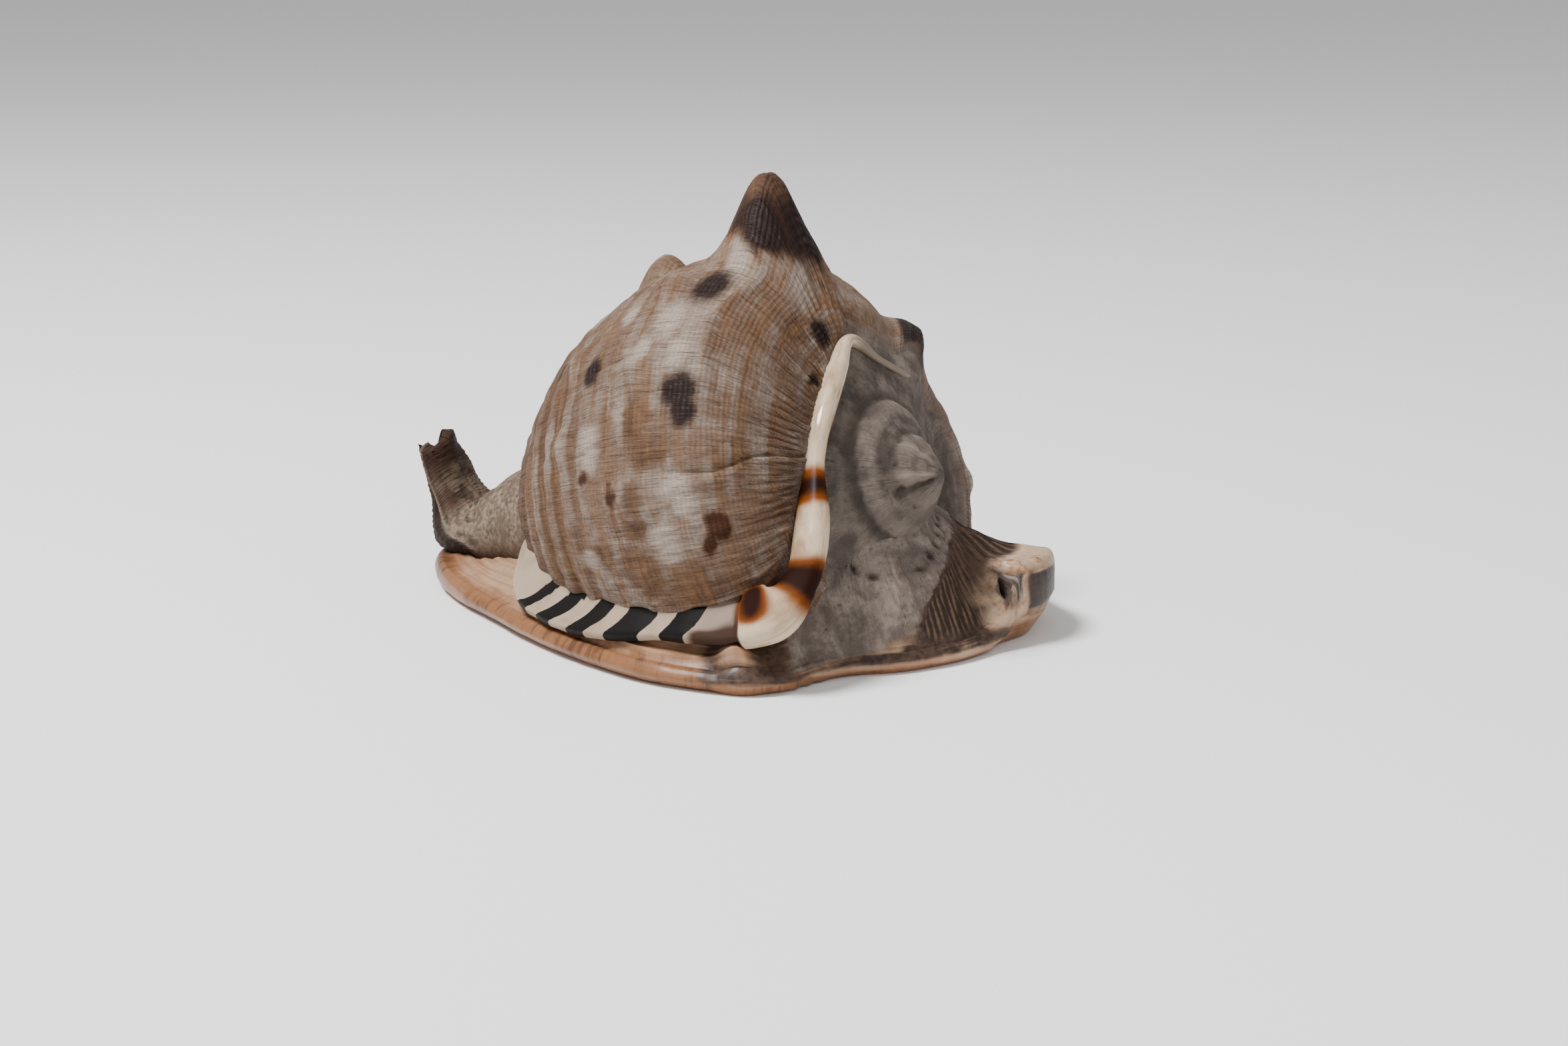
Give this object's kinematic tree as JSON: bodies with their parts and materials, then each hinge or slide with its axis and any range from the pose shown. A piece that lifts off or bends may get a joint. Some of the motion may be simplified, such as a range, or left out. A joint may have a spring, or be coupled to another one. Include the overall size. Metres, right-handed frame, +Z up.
{
  "type": "helmet shell",
  "caption": "Horned sea shell resting on its mouth, with a domed body whorl, low spire, flat shield and lip, standing old lip and upturned siphon canal.",
  "frame": {"origin": "middle of the shell's length and width, on the plane it lies on", "axes": "+X along the shell towards its spire, -Y the shield side, +Z up"},
  "size_m": [0.1676, 0.1268, 0.1092],
  "materials": {
    "shell": "dull limy whorls, glossy porcelain lip and shield"
  },
  "bodies": {
    "root": {"helmet_shell": "shell"}
  },
  "joints": []
}
